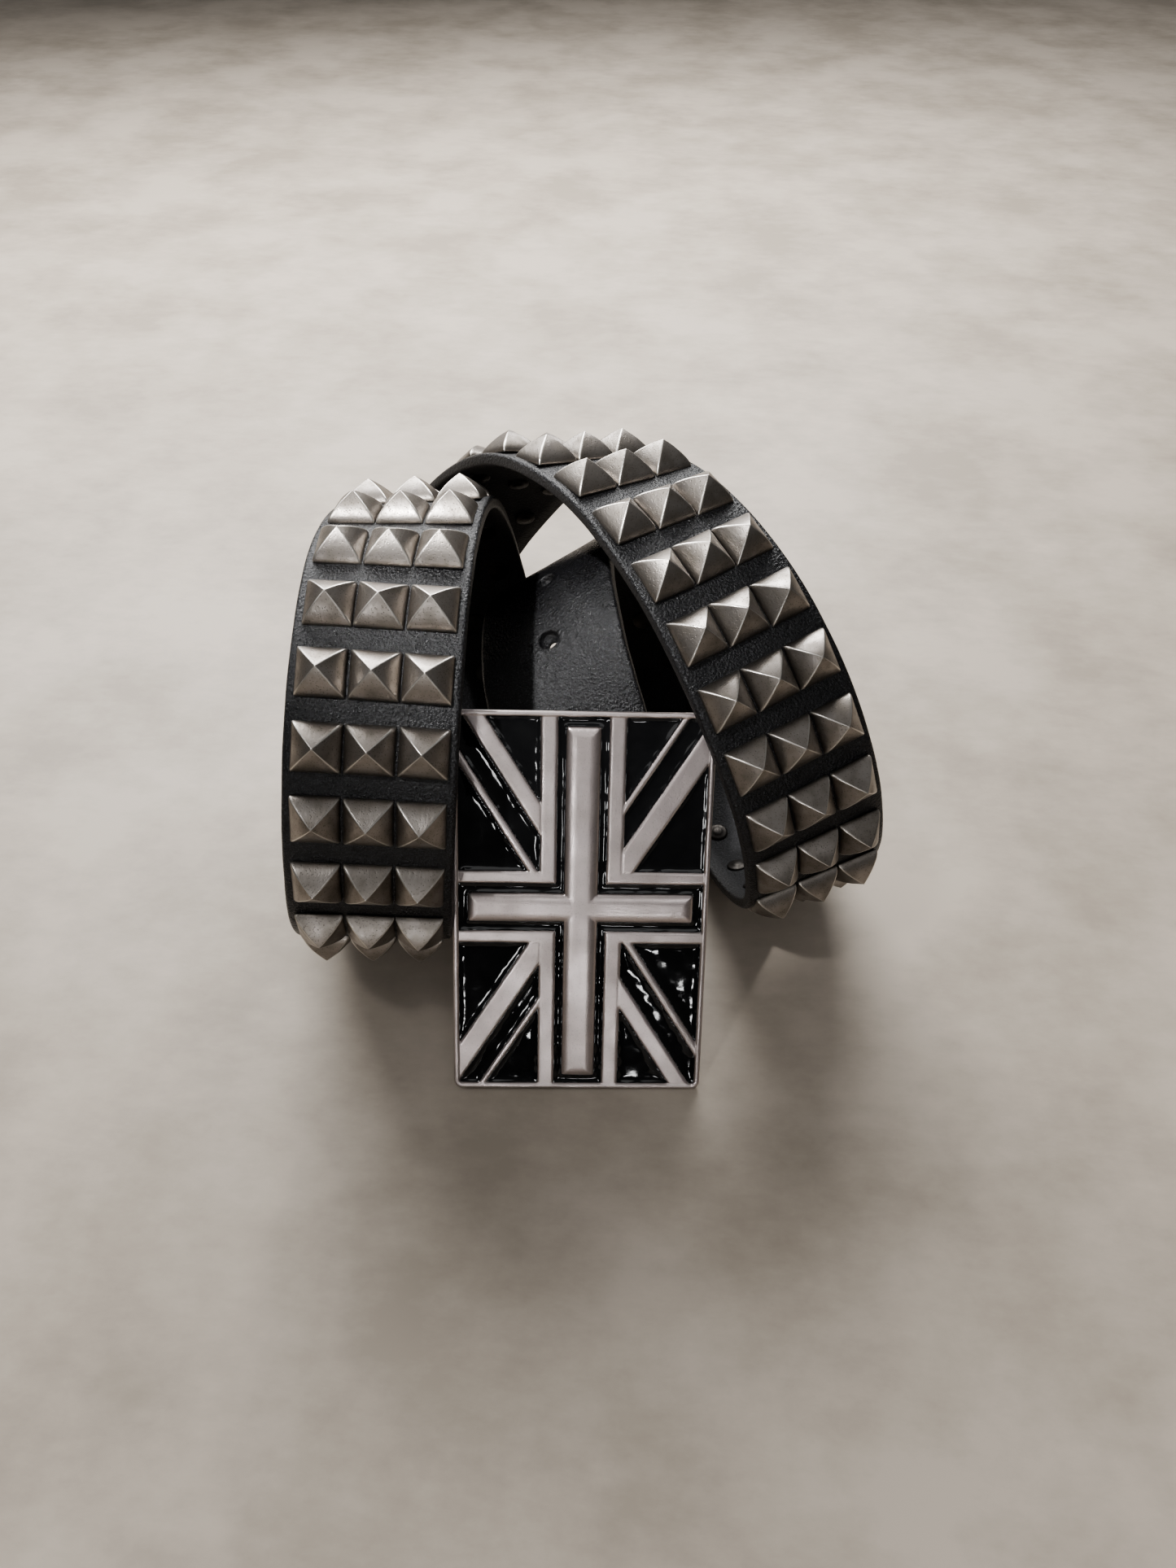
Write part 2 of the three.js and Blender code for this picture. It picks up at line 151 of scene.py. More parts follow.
def makeFloor():
    half = studio["floorSize"] / 2
    mesh = bpy.data.meshes.new("studioFloor")
    corners = [(-half, -half, 0), (half, -half, 0), (half, half, 0), (-half, half, 0)]
    mesh.from_pydata(corners, [], [(0, 1, 2, 3)])
    floor = bpy.data.objects.new("studioFloor", mesh)
    bpy.context.scene.collection.objects.link(floor)
    material, tree, shader = newMaterial("paleFloor")
    place = addNode(tree, "ShaderNodeTexCoord").outputs["Object"]
    cloud = addNode(tree, "ShaderNodeTexNoise", {
        "Vector": place, "Scale": studio["mottleScale"], "Detail": 9.0, "Roughness": 0.6,
    })
    turned = (0, 0, math.radians(studio["streakTurn"]))
    streakLie = addNode(tree, "ShaderNodeMapping",
                        {"Vector": place, "Rotation": turned, "Scale": studio["streakScale"]})
    streaks = addNode(tree, "ShaderNodeTexNoise",
                      {"Vector": streakLie.outputs[0], "Scale": 1.0, "Detail": 4.0, "Roughness": 0.65})
    mottle = maths(tree, "MULTIPLY_ADD", streaks.outputs["Fac"], studio["streakShare"],
                   cloud.outputs["Fac"])
    shades = list(zip(studio["shadeStops"], (studio["floorDim"], studio["floorPale"])))
    tree.links.new(ramp(tree, mottle, shades), shader.inputs["Base Color"])
    shader.inputs["Roughness"].default_value = studio["floorRoughness"]
    mesh.materials.append(material)


def placeLamp(data, spot, target, watts):
    data.energy = watts
    lamp = bpy.data.objects.new(data.name, data)
    bpy.context.scene.collection.objects.link(lamp)
    lamp.location = spot
    aim = Vector(target) - Vector(spot)
    lamp.rotation_euler = aim.to_track_quat("-Z", "Y").to_euler()


def makeLights():
    for name, (spot, target, sides, watts) in studio["lamps"].items():
        data = bpy.data.lights.new(name + "Light", "AREA")
        data.shape = "RECTANGLE"
        data.size, data.size_y = sides
        placeLamp(data, spot, target, watts)
    spot, target, cone, size, watts = studio["beam"]
    data = bpy.data.lights.new("beamLight", "SPOT")
    data.spot_size = math.radians(cone)
    data.spot_blend = studio["beamSoftness"]
    data.shadow_soft_size = size
    placeLamp(data, spot, target, watts)
    world = bpy.data.worlds.new("studioWorld")
    world.use_nodes = True
    tree = world.node_tree
    ways = addNode(tree, "ShaderNodeTexCoord").outputs["Generated"]
    height = addNode(tree, "ShaderNodeSeparateXYZ", {"Vector": ways}).outputs["Z"]
    share = maths(tree, "MULTIPLY_ADD", height, 0.5)
    tree.links.new(ramp(tree, share, studio["sky"]), tree.nodes["Background"].inputs["Color"])
    bpy.context.scene.world = world
    bpy.context.scene.view_settings.look = "AgX - Medium High Contrast"


makeCamera()
makeFloor()
makeLights()
print("camera, floor and lights made")


# Shared effects, each a node group that puts out masks and heights

def newGroup(name, inputs, outputs):
    group = bpy.data.node_groups.new(name, "ShaderNodeTree")
    for label, kind, value in inputs:
        socket = group.interface.new_socket(label, in_out="INPUT", socket_type=kind)
        if value is not None:
            socket.default_value = value
    for label in outputs:
        group.interface.new_socket(label, in_out="OUTPUT", socket_type="NodeSocketFloat")
    entry = group.nodes.new("NodeGroupInput")
    leave = group.nodes.new("NodeGroupOutput")
    return group, entry.outputs, leave.inputs


def makeGrainGroup():
    # pebbled cells broken up by finer noise, as a height and as a mask of the valleys
    inputs = [
        ("Vector", "NodeSocketVector", None),
        ("Cell Scale", "NodeSocketFloat", 900.0),
        ("Fine Scale", "NodeSocketFloat", 2600.0),
        ("Fine Share", "NodeSocketFloat", 0.35),
    ]
    group, given, out = newGroup("surfaceGrain", inputs, ["Height", "Valleys"])
    cells = addNode(group, "ShaderNodeTexVoronoi",
                    {"Vector": given["Vector"], "Scale": given["Cell Scale"]}, feature="SMOOTH_F1")
    fine = addNode(group, "ShaderNodeTexNoise",
                   {"Vector": given["Vector"], "Scale": given["Fine Scale"], "Detail": 4.0})
    dome = maths(group, "SUBTRACT", 1.0, cells.outputs["Distance"])
    speck = maths(group, "MULTIPLY", fine.outputs["Fac"], given["Fine Share"])
    group.links.new(maths(group, "ADD", dome, speck), out["Height"])
    group.links.new(ramp(group, cells.outputs["Distance"], [(0.45, 0.0), (0.8, 1.0)]), out["Valleys"])
    return group


def makeTarnishGroup():
    # broad cloudy patches with small pits and fine scratches
    inputs = [
        ("Vector", "NodeSocketVector", None),
        ("Cloud Scale", "NodeSocketFloat", 60.0),
        ("Pit Scale", "NodeSocketFloat", 900.0),
        ("Scratch Scale", "NodeSocketFloat", 500.0),
    ]
    group, given, out = newGroup("metalTarnish", inputs, ["Cloud", "Pits", "Scratches"])
    cloud = addNode(group, "ShaderNodeTexNoise",
                    {"Vector": given["Vector"], "Scale": given["Cloud Scale"], "Detail": 5.0})
    pits = addNode(group, "ShaderNodeTexVoronoi", {"Vector": given["Vector"], "Scale": given["Pit Scale"]})
    stretch = addNode(group, "ShaderNodeMapping",
                      {"Vector": given["Vector"], "Rotation": (0.4, 0.3, 0.7), "Scale": (1.0, 0.08, 1.0)})
    lines = addNode(group, "ShaderNodeTexNoise",
                    {"Vector": stretch.outputs[0], "Scale": given["Scratch Scale"], "Detail": 3.0})
    group.links.new(ramp(group, cloud.outputs["Fac"], [(0.35, 0.0), (0.68, 1.0)]), out["Cloud"])
    group.links.new(ramp(group, pits.outputs["Distance"], [(0.05, 1.0), (0.32, 0.0)]), out["Pits"])
    group.links.new(ramp(group, lines.outputs["Fac"], [(0.42, 0.0), (0.66, 1.0)]), out["Scratches"])
    return group


grainGroup = makeGrainGroup()
tarnishGroup = makeTarnishGroup()


def useGroup(tree, group, inputs):
    return addNode(tree, "ShaderNodeGroup", inputs, node_tree=group).outputs


def addBump(tree, shader, height, strength, distance, invert=False):
    bump = addNode(tree, "ShaderNodeBump", {"Height": height, "Strength": strength, "Distance": distance},
                   invert=invert)
    tree.links.new(bump.outputs["Normal"], shader.inputs["Normal"])


def clouded(name, finish):
    # the start of every metal: its tarnish masks, and its colour from bright to dull
    material, tree, shader = newMaterial(name)
    place = addNode(tree, "ShaderNodeTexCoord").outputs["Object"]
    tarnish = useGroup(tree, tarnishGroup, {
        "Vector": place, "Cloud Scale": finish["cloudScale"], "Pit Scale": finish["pitScale"],
        "Scratch Scale": finish["scratchScale"],
    })
    colour = blend(tree, tarnish["Cloud"], finish["bright"], finish["dull"])
    shader.inputs["Metallic"].default_value = 1.0
    return material, tree, shader, tarnish, colour


def makePlainMetal(name, finish):
    material, tree, shader, tarnish, colour = clouded(name, finish)
    tree.links.new(colour, shader.inputs["Base Color"])
    rough = maths(tree, "MULTIPLY_ADD", tarnish["Scratches"], finish["scratchRoughness"],
                  finish["roughness"])
    tree.links.new(rough, shader.inputs["Roughness"])
    addBump(tree, shader, tarnish["Pits"], finish["pitStrength"], finish["pitDepth"], invert=True)
    return material


# The strap's route, one row every two stud rows, as in the part's source.
# x is a share of the strap's width, y and z of the coil's depth and height,
# yaw and lean turn the strap's width about Z and tip it up at the right.

strap = {
    "width": 0.0432,
    "thickness": 0.0036,
    "coil": 0.125,
    "start": 0.00925,
    "tailMargin": 0.0281,
    "step": 0.0018,
    "edgeRound": 0.0012,
    "innerRound": 0.0008,
    "tipTaperLength": 0.016,
    "tipTaper": 0.45,
    "edgeWander": 0.00018,
    "wanderScale": 70,
    "faceSwell": 0.00016,
    "swellScale": (110, 90),
    "endPinch": 0.0007,
    "faceSteps": 18,
    "edgeSteps": 5,
    "innerEdgeSteps": 4,
    "innerSteps": 10,
    "holeSides": 32,
    "liningSides": 20,
    "holeDiameter": 0.0055,
    "holeRim": 0.0012,
    "lining": 0.001,
    "liningHole": 0.0029,
    "liningAside": (0.0004, 0.0009),
    "slitHole": 1,
    "slitTurn": 40,  # from straight across, towards the tip
    "slitDepth": 0.0011,
    "slitShape": ((0.0026, -0.00022), (0.0061, -0.00004), (0.0061, 0.00004), (0.0026, 0.00022)),
    "holeSpacing": 0.0254,
    "holeCount": 4,
    "tipToHole": 0.034,
    "foldRadius": 0.0054,
    "foldFlap": 0.024,
    "foldSteps": 24,
    "flapSteps": 12,
    "plain": (0.0065, 0.0063, 0.0070, 1),
    "dusty": (0.011, 0.0107, 0.0115, 1),
    # painted glints: the colour of small lighter flecks on the leather
    "speck": (0.045, 0.045, 0.050, 1),
    "cutEdge": (0.020, 0.019, 0.019, 1),
    # painted shade: the colour of the grain's valleys, darker than the face
    "paintedValleyShade": (0.004, 0.004, 0.004, 1),
    "grainCell": 1400.0,
    "grainFine": 3600.0,
    "grainFineShare": 0.8,
    "grainDepth": 0.00027,
    "creaseScale": (620.0, 42.0, 1.0),
    "creaseShare": 0.06,
    "dustScale": 75.0,
    "paintedGlintScale": 2600.0,
    "roughness": (0.25, 0.32),
    "valleyRoughness": 0.46,
    "edgeRoughness": 0.5,
    "innerRoughness": 0.75,
    "specular": 0.4,
}

# from the source's own frame, which starts at the route's start, to the CAD model's frame
modelShift = Vector((0.0007733, -0.004029, 0))

routeTable = [
    (-0.043, -0.529, 0.056, 14, 1),
    (-0.258, -0.244, 0.075, 15, 3),
    (-0.481, 0.036, 0.129, 15, 5),
    (-0.712, 0.3, 0.229, 14, 7),
    (-0.938, 0.494, 0.433, 12, 10),
    (-1.097, 0.496, 0.717, 6, 10),
    (-1.164, 0.305, 0.934, 0, 5),
    (-1.198, 0.022, 1.002, -2, 0),
    (-1.227, -0.248, 0.895, -1, -3),
    (-1.268, -0.439, 0.674, 1, -5),
    (-1.339, -0.489, 0.39, 3, -6),
    (-1.44, -0.324, 0.151, 4, -6),
    (-1.52, -0.04, 0.08, 4, -7),
    (-1.557, 0.249, 0.11, 5, -15),
    (-1.493, 0.509, 0.243, 10, -25),
    (-1.218, 0.645, 0.483, 16, -27),
    (-0.794, 0.621, 0.734, 21, -27),
    (-0.319, 0.493, 0.942, 31, -19),
    (0.19, 0.278, 1.034, 36, -7),
    (0.671, 0.043, 0.98, 34, 2),
    (1.082, -0.154, 0.815, 29, 9),
    (1.404, -0.277, 0.572, 26, 10),
    (1.552, -0.264, 0.287, 22, 10),
    (1.426, -0.057, 0.09, 18, 5),
    (1.167, 0.221, 0.081, 18, 8),
    (0.874, 0.485, 0.153, 13, 27),
    (0.446, 0.639, 0.348, 2, 35),
    (-0.011, 0.564, 0.577, 3, 36),
    (-0.3, 0.336, 0.733, 2, 33),
    (-0.271, 0.048, 0.728, 3, 24),
    (-0.041, -0.18, 0.561, 10, 13),
    (0.171, -0.337, 0.325, 13, 8),
    (0.376, -0.474, 0.072, 14, 8),
]
samplesPerRow = 24
lastRow = len(routeTable) - 1
sampleCount = lastRow * samplesPerRow


def routeRow(index):
    # past either end the route runs straight on
    if index < 0:
        return [2 * near - far for near, far in zip(routeTable[0], routeTable[1])]
    if index > lastRow:
        return [2 * near - far for near, far in zip(routeTable[lastRow], routeTable[lastRow - 1])]
    return routeTable[index]


def curveWeights(f):
    return (
        -0.5 * f**3 + f**2 - 0.5 * f,
        1.5 * f**3 - 2.5 * f**2 + 1,
        -1.5 * f**3 + 2 * f**2 + 0.5 * f,
        0.5 * f**3 - 0.5 * f**2,
    )


def slopeWeights(f):
    return (
        -1.5 * f**2 + 2 * f - 0.5,
        4.5 * f**2 - 5 * f,
        -4.5 * f**2 + 4 * f + 0.5,
        1.5 * f**2 - f,
    )


def routeMix(share, weights):
    at = min(max(share, 0), 1) * lastRow
    index = min(int(at), lastRow - 1)
    rows = [routeRow(index - 1 + offset) for offset in range(4)]
    parts = weights(at - index)
    return [sum(part * row[column] for part, row in zip(parts, rows)) for column in range(5)]


def scaledPoint(row):
    return Vector((row[0] * strap["width"], row[1] * strap["coil"], row[2] * strap["coil"]))


def routeLengths():
    points = [scaledPoint(routeMix(at / sampleCount, curveWeights)) for at in range(sampleCount + 1)]
    lengths = [0.0]
    for before, after in zip(points, points[1:]):
        lengths.append(lengths[-1] + (after - before).length)
    return lengths


sampleLengths = routeLengths()
strapLength = sampleLengths[-1] - strap["tailMargin"]


def strapFrame(along):
    # where the outer face's middle is, with the strap's directions: across, ahead and out
    sample = min(max(bisect.bisect_left(sampleLengths, along), 1), sampleCount)
    before, after = sampleLengths[sample - 1], sampleLengths[sample]
    share = (sample - 1 + (along - before) / (after - before)) / sampleCount
    row = routeMix(share, curveWeights)
    ahead = scaledPoint(routeMix(share, slopeWeights)).normalized()
    yaw, lean = math.radians(row[3]), math.radians(row[4])
    level = math.cos(lean)
    across = Vector((level * math.cos(yaw), level * math.sin(yaw), math.sin(lean)))
    across = (across - across.dot(ahead) * ahead).normalized()
    return scaledPoint(row) + modelShift, across, ahead, ahead.cross(across).normalized()


def strapPoint(place, side, depth):
    point, across, ahead, out = place
    return point + side * across - depth * out


def foldFrames():
    # the strap's start goes round the bail's bar and lies back on itself
    point, across, ahead, out = strapFrame(strap["start"])
    centre = point - strap["foldRadius"] * out
    frames = []
    for step in range(strap["foldSteps"]):
        turn = math.pi * (1 - step / strap["foldSteps"])
        outward = math.cos(turn) * out - math.sin(turn) * ahead
        frames.append((centre + strap["foldRadius"] * outward, across, across.cross(outward), outward))
    first = frames[0]
    flap = []
    for step in range(strap["flapSteps"], 0, -1):
        back = strap["foldFlap"] * step / strap["flapSteps"]
        flap.append((first[0] - back * first[2], *first[1:]))
    return flap + frames


def sectionOutline():
    # side as a share of the flat half-width, what the edge adds to it, depth, and the kind of
    # surface: 0 outer face, 0.5 its rounded edge, 1 cut edge, 2 inner face
    outer, inner, deep = strap["edgeRound"], strap["innerRound"], strap["thickness"]
    faceSteps, edgeSteps = strap["faceSteps"], strap["edgeSteps"]
    face = [(1 - 2 * step / faceSteps, 0, 0, 0) for step in range(faceSteps + 1)]
    edge = []
    for step in range(1, edgeSteps + 1):
        turn = math.pi / 2 * step / edgeSteps
        kind = 1 if step == edgeSteps else 0.5
        edge.append((-1, -outer * math.sin(turn), outer * (1 - math.cos(turn)), kind))
    for step in range(strap["innerEdgeSteps"] + 1):
        turn = math.pi / 2 * step / strap["innerEdgeSteps"]
        side = -(outer - inner) - inner * math.cos(turn)
        edge.append((-1, side, deep - inner * (1 - math.sin(turn)), 1))
    innerSteps = strap["innerSteps"]
    back = [(-1 + 2 * step / innerSteps, 0, deep, 2) for step in range(1, innerSteps)]
    farEdge = [(1, -extra, depth, kind) for share, extra, depth, kind in reversed(edge)]
    return face + edge + back + farEdge


def strapRings():
    fold = foldFrames()
    stations = [(-0.001 * (len(fold) - index), place) for index, place in enumerate(fold)]
    steps = round((strapLength - strap["start"]) / strap["step"])
    for step in range(steps + 1):
        along = strap["start"] + (strapLength - strap["start"]) * step / steps
        stations.append((along, strapFrame(along)))
    return stations


def tipShare(along):
    left = max(strapLength - along, 0)
    share = max(1 - left / strap["tipTaperLength"], 0)
    return 1 - strap["tipTaper"] * share * share


def strapVertices(stations, outline):
    # the second list gives each point's lie on the strap, and marks the cut edge and inner face
    swellAlong, swellAcross = strap["swellScale"]
    vertices = []
    rows = []
    for number, (along, place) in enumerate(stations):
        half = strap["width"] / 2 * tipShare(along)
        flat = half - strap["edgeRound"]
        end = min(number, len(stations) - 1 - number)
        pinch = strap["endPinch"] if end == 0 else 0.0
        for share, extra, depth, kind in outline:
            side = share * flat + extra
            wander = noise.noise(Vector((along * strap["wanderScale"], share * 3.1, 4.7)))
            side += math.copysign(strap["edgeWander"] * wander, share) if kind in (0.5, 1) else 0
            swell = noise.noise(Vector((along * swellAlong, side * swellAcross, kind * 5.3)))
            depth += strap["faceSwell"] * swell if kind in (0, 2) else 0
            side -= pinch * share
            depth += pinch * (0.5 - depth / strap["thickness"])
            vertices.append(strapPoint(place, side, depth))
            rows.append((along, side + kind * 0.05, float(kind == 1), float(kind == 2)))
    return vertices, rows


def ringFaces(ringCount, size):
    faces = []
    for ring in range(ringCount - 1):
        for side in range(size):
            a = ring * size + side
            b = ring * size + (side + 1) % size
            faces.append((a, b, b + size, a + size))
    last = (ringCount - 1) * size
    faces.append(tuple(reversed(range(size))))
    faces.append(tuple(range(last, last + size)))
    return faces


def smoothMesh(mesh):
    mesh.polygons.foreach_set("use_smooth", [True] * len(mesh.polygons))


def pieceFromMesh(name, mesh, material):
    mesh.materials.append(material)
    smoothMesh(mesh)
    piece = bpy.data.objects.new(name, mesh)
    bpy.context.scene.collection.objects.link(piece)
    return piece


def newPiece(name, vertices, faces, material):
    mesh = bpy.data.meshes.new(name)
    mesh.from_pydata(vertices, [], faces)
    mesh.validate()
    return pieceFromMesh(name, mesh, material)


def holeFrames():
    return [
        strapFrame(strapLength - strap["tipToHole"] - hole * strap["holeSpacing"])
        for hole in range(strap["holeCount"])
    ]


def turnedShape(place, profile, sides, aside=(0, 0)):
    # rings of a turned form, given as radius against depth below the outer face
    point, across, ahead, out = place
    point = point + aside[0] * across + aside[1] * ahead
    vertices = []
    for width, depth in profile:
        for side in range(sides):
            turn = 2 * math.pi * side / sides
            spoke = math.cos(turn) * across + math.sin(turn) * ahead
            vertices.append(point - depth * out + width * spoke)
    return vertices, ringFaces(len(profile), sides)


def joinShapes(shapes):
    vertices, faces = [], []
    for points, sides in shapes:
        base = len(vertices)
        vertices += points
        faces += [tuple(base + index for index in face) for face in sides]
    return vertices, faces


def mouthShapes():
    # a waisted pin for each hole, so that the hole's rim comes out rounded
    radius, rim, deep = strap["holeDiameter"] / 2, strap["holeRim"], strap["thickness"]
    mouth = [(radius + rim, -0.0012)]
    for step in range(7):
        turn = math.pi / 2 * step / 6
        mouth.append((radius + rim * (1 - math.sin(turn)), rim * (1 - math.cos(turn)) - 0.0002))
    through = mouth + [(radius, deep - rim / 2), (radius + rim / 3, deep + 0.0012)]
    blind = mouth + [(radius * 0.94, deep - strap["lining"])]
    return [turnedShape(place, through if hole == 0 else blind, strap["holeSides"])
            for hole, place in enumerate(holeFrames())]


def liningShapes():
    # the lining under a hole that isn't worn through has only a small opening
    small, deep = strap["liningHole"] / 2, strap["thickness"]
    pin = [(small, deep - strap["lining"] - 0.0005), (small, deep + 0.001)]
    shapes = [turnedShape(place, pin, strap["liningSides"], strap["liningAside"])
              for place in holeFrames()[1:]]
    point, across, ahead, out = holeFrames()[strap["slitHole"]]
    turn = math.radians(strap["slitTurn"])
    along = math.cos(turn) * across + math.sin(turn) * ahead
    beside = out.cross(along)
    corners = []
    for depth in (-0.001, strap["slitDepth"]):
        for reach, half in strap["slitShape"]:
            corners.append(point + reach * along + half * beside - depth * out)
    shapes.append((corners, ringFaces(2, len(strap["slitShape"]))))
    return shapes


def cutAway(piece, shapes, material):
    tool = newPiece("holePunch", *joinShapes(shapes), material)
    repair = bmesh.new()
    repair.from_mesh(tool.data)
    bmesh.ops.recalc_face_normals(repair, faces=repair.faces)
    repair.to_mesh(tool.data)
    repair.free()
    cut = piece.modifiers.new("holes", "BOOLEAN")
    cut.operation = "DIFFERENCE"
    cut.solver = "EXACT"
    cut.object = tool
    applyModifiers(piece)
    bpy.data.objects.remove(tool)


def applyModifiers(piece):
    bpy.context.view_layer.update()
    depsgraph = bpy.context.evaluated_depsgraph_get()
    mesh = bpy.data.meshes.new_from_object(piece.evaluated_get(depsgraph))
    piece.modifiers.clear()
    piece.data = mesh
    smoothMesh(mesh)


def makeLeather():
    material, tree, shader = newMaterial("blackLeather")
    place = addNode(tree, "ShaderNodeTexCoord")
    lie = addNode(tree, "ShaderNodeUVMap", uv_map="strapLie").outputs["UV"]
    grain = useGroup(tree, grainGroup, {
        "Vector": place.outputs["Object"], "Cell Scale": strap["grainCell"],
        "Fine Scale": strap["grainFine"], "Fine Share": strap["grainFineShare"],
    })
    creaseLie = addNode(tree, "ShaderNodeMapping", {"Vector": lie, "Scale": strap["creaseScale"]})
    crease = addNode(tree, "ShaderNodeTexNoise",
                     {"Vector": creaseLie.outputs[0], "Scale": 1.0, "Detail": 5.0, "Roughness": 0.6})
    creases = ramp(tree, crease.outputs["Fac"], [(0.40, 0.0), (0.56, 1.0)])
    edge = addNode(tree, "ShaderNodeAttribute", attribute_name="cutEdge").outputs["Fac"]
    dust = addNode(tree, "ShaderNodeTexNoise", {
        "Vector": place.outputs["Object"], "Scale": strap["dustScale"], "Detail": 7.0, "Roughness": 0.7,
    })
    dustMask = ramp(tree, dust.outputs["Fac"], [(0.46, 0.0), (0.78, 0.5)])
    colour = blend(tree, dustMask, strap["plain"], strap["dusty"])
    # painted shade: the grain's valleys are darkened in the colour
    colour = blend(tree, grain["Valleys"], colour, strap["paintedValleyShade"])
    # painted glints: small lighter flecks scattered over the leather's colour
    speck = addNode(tree, "ShaderNodeTexNoise",
                    {"Vector": place.outputs["Object"], "Scale": strap["paintedGlintScale"], "Detail": 2.0})
    paintedGlintMask = ramp(tree, speck.outputs["Fac"], [(0.56, 0.0), (0.70, 0.9)])
    colour = blend(tree, paintedGlintMask, colour, strap["speck"])
    colour = blend(tree, edge, colour, strap["cutEdge"])
    tree.links.new(colour, shader.inputs["Base Color"])
    rough = ramp(tree, dust.outputs["Fac"], list(zip((0.3, 0.75), strap["roughness"])))
    rough = blend(tree, grain["Valleys"], rough, grey(strap["valleyRoughness"]))
    rough = blend(tree, edge, rough, grey(strap["edgeRoughness"]))
    inner = addNode(tree, "ShaderNodeAttribute", attribute_name="innerFace").outputs["Fac"]
    rough = blend(tree, inner, rough, grey(strap["innerRoughness"]))
    tree.links.new(rough, shader.inputs["Roughness"])
    shader.inputs["Specular IOR Level"].default_value = strap["specular"]
    height = maths(tree, "MULTIPLY_ADD", creases, strap["creaseShare"], grain["Height"])
    addBump(tree, shader, height, 1.0, strap["grainDepth"])
    return material


def makeStrap(material):
    # punched twice, first the mouths and then the lining's openings and the slit
    stations = strapRings()
    outline = sectionOutline()
    vertices, rows = strapVertices(stations, outline)
    piece = newPiece("beltStrap", vertices, ringFaces(len(stations), len(outline)), material)
    mesh = piece.data
    for column, label in ((2, "cutEdge"), (3, "innerFace")):
        mark = mesh.attributes.new(label, "FLOAT", "POINT")
        mark.data.foreach_set("value", [row[column] for row in rows])
    lie = mesh.uv_layers.new(name="strapLie")
    for loop in mesh.loops:
        lie.data[loop.index].uv = rows[loop.vertex_index][:2]
    cutAway(piece, mouthShapes(), material)
    cutAway(piece, liningShapes(), material)
    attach(piece, "root")
    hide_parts("strap")


makeStrap(makeLeather())
print("strap made")


# Studs, three across the strap, row after row, with their rivets on the inner face

studs = {
    "base": 0.0127,
    "height": 0.00695,
    "gap": 0.00045,
    "across": 3,
    "rowPitch": 0.01846,
    "firstRow": 0.037,
    "rows": 51,
    "corner": 0.00042,
    "dent": 0.00007,
    "dentScale": 420,
    "turn": 1.3,
    "tilt": 1.2,
    "drift": 0.00012,
    "bright": (0.335, 0.307, 0.283, 1),
    "dull": (0.20, 0.18, 0.158, 1),
    "grime": (0.03, 0.026, 0.022, 1),
    # the ridges' colour: worn metal, and a painted highlight along the ridges and apex
    "wornAndHighlight": (0.82, 0.79, 0.74, 1),
    "wearAndHighlightPower": 2.2,
    "wearAndHighlightShare": 0.8,
    "grimeShare": 0.55,
    "cloudScale": 190.0,
    "pitScale": 1500.0,
    "scratchScale": 1100.0,
    "roughness": 0.34,
    "cloudRoughness": 0.12,
    "pitRoughness": 0.12,
    "wornPolish": 0.05,
    "scratchShare": 0.45,
    "reliefStrength": 0.35,
    "reliefDepth": 0.00008,
}

rivets = {
    "radius": 0.0033,
    "rise": 0.0011,
    "aside": 0.0005,
    "sides": 20,
    # painted shade: the rivets' colours are near black, darkened as they sit in the coil's shade
    "bright": (0.012, 0.011, 0.011, 1),
    "dull": (0.06, 0.055, 0.05, 1),
    "cloudScale": 60.0,
    "pitScale": 1700.0,
    "scratchScale": 1300.0,
    "roughness": 0.42,
    "scratchRoughness": 0.15,
    "pitStrength": 0.3,
    "pitDepth": 0.00005,
}

# half-width against height, as shares of the stud's own size
studProfile = [
    (1.0, -0.06), (1.0, 0.0), (0.996, 0.04), (0.986, 0.08), (0.966, 0.13), (0.934, 0.19),
    (0.888, 0.26), (0.824, 0.34), (0.745, 0.43), (0.655, 0.52), (0.557, 0.61), (0.452, 0.7),
    (0.350, 0.78), (0.238, 0.86), (0.130, 0.93), (0.050, 0.98), (0.018, 1.0),
]


def studRing(half, corner):
    # a square with rounded corners, and how near each point is to a ridge
    points = []
    corner = min(corner, half * 0.7)
    flat = half - corner
    for right, up, start in ((1, -1, -90), (1, 1, 0), (-1, 1, 90), (-1, -1, 180)):
        for step in range(3):
            turn = math.radians(start + 45 * step)
            ridge = 1.0 if step == 1 else 0.4
            x = right * flat + corner * math.cos(turn)
            y = up * flat + corner * math.sin(turn)
            points.append((x, y, ridge))
        # then along the side to the next corner
        for share in (0.05, 0.2, 0.4, 0.6, 0.8, 0.95):
            sideX = (right - (up + right) * share) * flat + corner * math.cos(turn)
            sideY = (up + (right - up) * share) * flat + corner * math.sin(turn)
            points.append((sideX, sideY, 0.0))
    return points


def studShell(half, height):
    vertices, ridges = [], []
    for share, rise in studProfile:
        corner = studs["corner"] * (0.45 + 0.55 * share)
        # the apex is marked as half a ridge, for the ridges' wear and painted highlight
        apexWearAndHighlight = 0.5 if rise > 0.97 else 0
        for x, y, ridge in studRing(half * share, corner):
            spot = (x * studs["dentScale"], y * studs["dentScale"], half * 9000 + height * 1e5)
            dent = studs["dent"] * noise.noise(Vector(spot))
            vertices.append(Vector((x, y, rise * height + (dent if rise > 0.1 else 0))))
            ridges.append(apexWearAndHighlight or ridge)
    size = len(studRing(half, studs["corner"]))
    faces = ringFaces(len(studProfile), size)
    return vertices, faces, ridges


def studSeats(row):
    along = studs["firstRow"] + row * studs["rowPitch"]
    point, across, ahead, out = strapFrame(along)
    spacing = studs["base"] + studs["gap"]
    for number in range(studs["across"]):
        side = (number - (studs["across"] - 1) / 2) * spacing
        yield point + side * across, across, ahead, out


